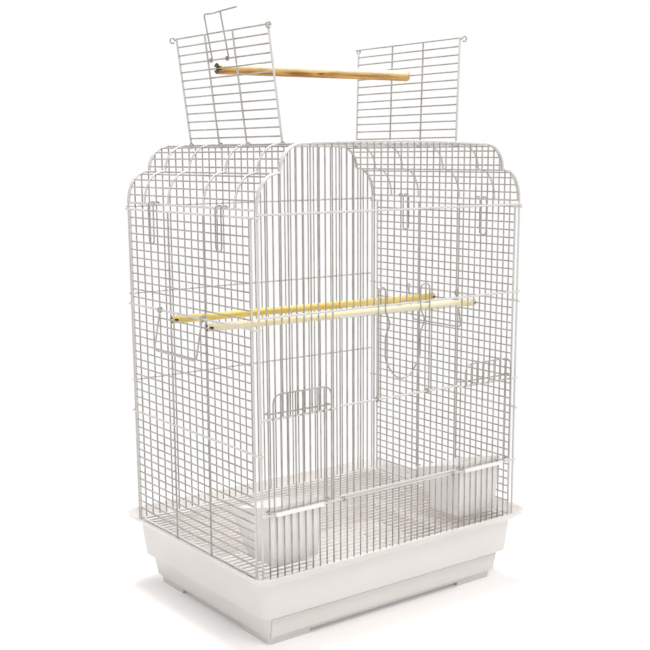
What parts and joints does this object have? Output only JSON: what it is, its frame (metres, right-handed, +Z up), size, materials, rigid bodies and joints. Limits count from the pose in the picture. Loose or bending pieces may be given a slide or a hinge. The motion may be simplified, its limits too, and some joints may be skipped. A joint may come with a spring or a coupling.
{
  "type": "bird cage with opening top",
  "caption": "Wire bird cage on a plastic base with slide-out tray; roof doors open upright with a play perch between them, a drop-down front door and sliding feeder doors.",
  "frame": {"origin": "centre of the base's underside, on the surface it stands on", "axes": "+Z up, -Y towards the front with the main door, +X to the right seen from the front"},
  "size_m": [0.543, 0.415, 0.9061],
  "materials": {
    "wire": "satin off-white coating",
    "base": "satin light warm grey",
    "cup": "satin white",
    "wood": "bare turned dowel",
    "play_wood": "bare turned dowel, pale"
  },
  "bodies": {
    "cage": {"base_tub": "base", "floor_grate": "wire", "front_panel": "wire", "back_panel": "wire", "side_panel_left": "wire", "side_panel_right": "wire", "roof": "wire", "seed_cup_left": "cup", "seed_cup_right": "cup", "inner_perch_1": "wood", "inner_perch_2": "wood", "roof_clip_left_front": "wire", "roof_clip_left_back": "wire", "roof_clip_right_front": "wire", "roof_clip_right_back": "wire"},
    "tray": {"slide_tray": "base"},
    "feeder_left": {"feeder_door_left": "wire"},
    "feeder_right": {"feeder_door_right": "wire"},
    "front_door": {"main_door": "wire"},
    "latch": {"door_latch": "wire"},
    "handle_left": {"carry_handle_left": "wire"},
    "handle_right": {"carry_handle_right": "wire"},
    "roof_left": {"roof_door_left": "wire"},
    "roof_right": {"roof_door_right": "wire"},
    "bail": {"roof_bail": "wire"},
    "perch": {"play_perch": "play_wood"}
  },
  "joints": [
    {"name": "tray_slide", "type": "slide", "parent": "cage", "child": "tray", "axis": [0, -1, 0], "range_m": [0, 0.26]},
    {"name": "feeder_left_lift", "type": "slide", "parent": "cage", "child": "feeder_left", "axis": [0, 0, 1], "range_m": [0, 0.125]},
    {"name": "feeder_right_lift", "type": "slide", "parent": "cage", "child": "feeder_right", "axis": [0, 0, 1], "range_m": [0, 0.125]},
    {"name": "front_door_swing", "type": "hinge", "parent": "cage", "child": "front_door", "pos_m": [0, -0.18667, 0.206], "axis": [1, 0, 0], "range_deg": [0, 104]},
    {"name": "latch_swing", "type": "hinge", "parent": "front_door", "child": "latch", "pos_m": [0, -0.18667, 0.346], "axis": [1, 0, 0], "range_deg": [0, 30]},
    {"name": "handle_left_swing", "type": "hinge", "parent": "cage", "child": "handle_left", "pos_m": [-0.25147, 0, 0.468], "axis": [0, 1, 0], "range_deg": [0, 150]},
    {"name": "handle_right_swing", "type": "hinge", "parent": "cage", "child": "handle_right", "pos_m": [0.25147, 0, 0.468], "axis": [0, -1, 0], "range_deg": [0, 150]},
    {"name": "roof_left_swing", "type": "hinge", "parent": "cage", "child": "roof_left", "pos_m": [-0.1647, 0, 0.7147], "axis": [0, -1, 0], "range_deg": [0, 52]},
    {"name": "roof_right_swing", "type": "hinge", "parent": "cage", "child": "roof_right", "pos_m": [0.1647, 0, 0.7147], "axis": [0, 1, 0], "range_deg": [0, 58]},
    {"name": "bail_swing", "type": "hinge", "parent": "roof_left", "child": "bail", "pos_m": [-0.1811, 0, 0.83761], "axis": [0, 1, 0], "range_deg": [0, 85]},
    {"name": "perch_slide", "type": "slide", "parent": "cage", "child": "perch", "axis": [0, 1, 0], "range_m": [-0.022, 0.009]}
  ]
}
